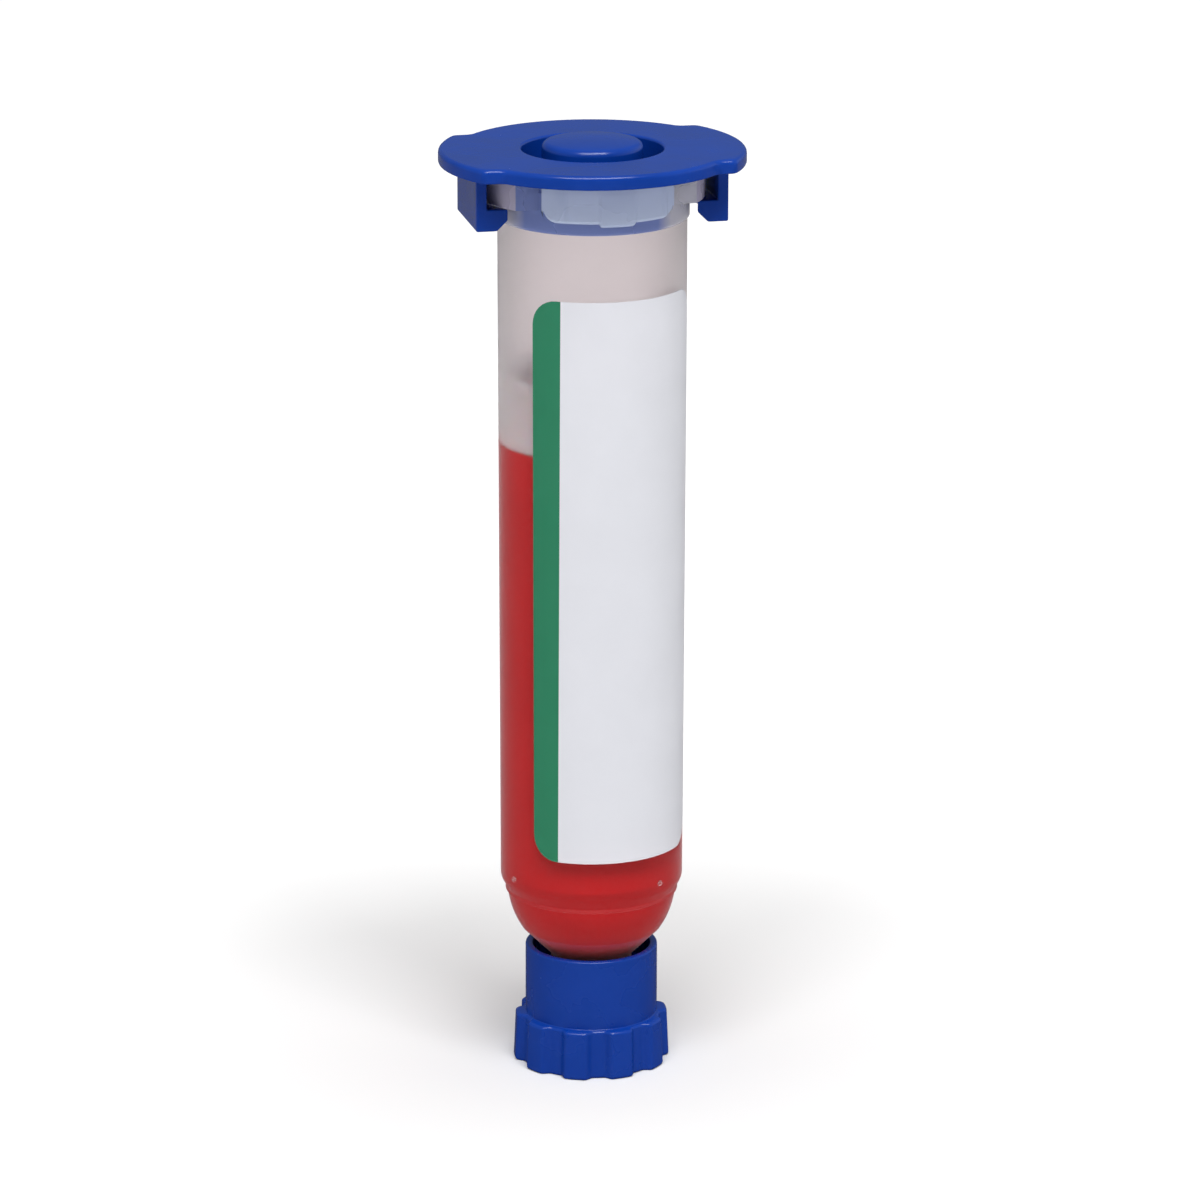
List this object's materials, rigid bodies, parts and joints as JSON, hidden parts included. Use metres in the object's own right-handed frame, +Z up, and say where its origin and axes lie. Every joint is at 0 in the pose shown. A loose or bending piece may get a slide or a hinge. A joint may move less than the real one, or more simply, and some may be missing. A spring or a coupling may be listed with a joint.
{
  "type": "epoxy dispensing syringe",
  "caption": "Translucent dispensing syringe filled with red epoxy, with a wiper piston, a label, a hooked blue end cap and a blue tip cap that it stands on.",
  "frame": {"origin": "centre of the tip cap's base, on the surface that the syringe stands on", "axes": "+Z up the barrel, +X along the wings of the end cap, -Y towards the front with the label"},
  "size_m": [0.0406, 0.0366, 0.1271],
  "materials": {
    "barrel_plastic": "translucent natural polypropylene, smooth",
    "end_cap_plastic": "blue polyethylene, fine satin",
    "piston_plastic": "white translucent polyethylene",
    "epoxy": "thick red paste, glossy",
    "label_film": "white printed film with a green stripe",
    "tip_cap_plastic": "blue polyethylene, fine satin"
  },
  "bodies": {
    "barrel": {"barrel": "barrel_plastic", "label": "label_film", "adhesive_column": "epoxy", "adhesive_heel": "epoxy"},
    "end_cap": {"end_cap": "end_cap_plastic"},
    "piston": {"piston": "piston_plastic"},
    "tip_cap": {"tip_cap": "tip_cap_plastic"}
  },
  "joints": [
    {"name": "end_cap_turn", "type": "hinge", "parent": "barrel", "child": "end_cap", "pos_m": [0, 0, 0.1247], "axis": [0, 0, 1], "range_deg": [0, 90]},
    {"name": "piston_slide", "type": "slide", "parent": "barrel", "child": "piston", "axis": [0, 0, -1], "range_m": [0, 0.0597], "deforming": ["adhesive_column"]},
    {"name": "tip_cap_pull", "type": "slide", "parent": "barrel", "child": "tip_cap", "axis": [0, 0, -1], "range_m": [0, 0.02]}
  ]
}
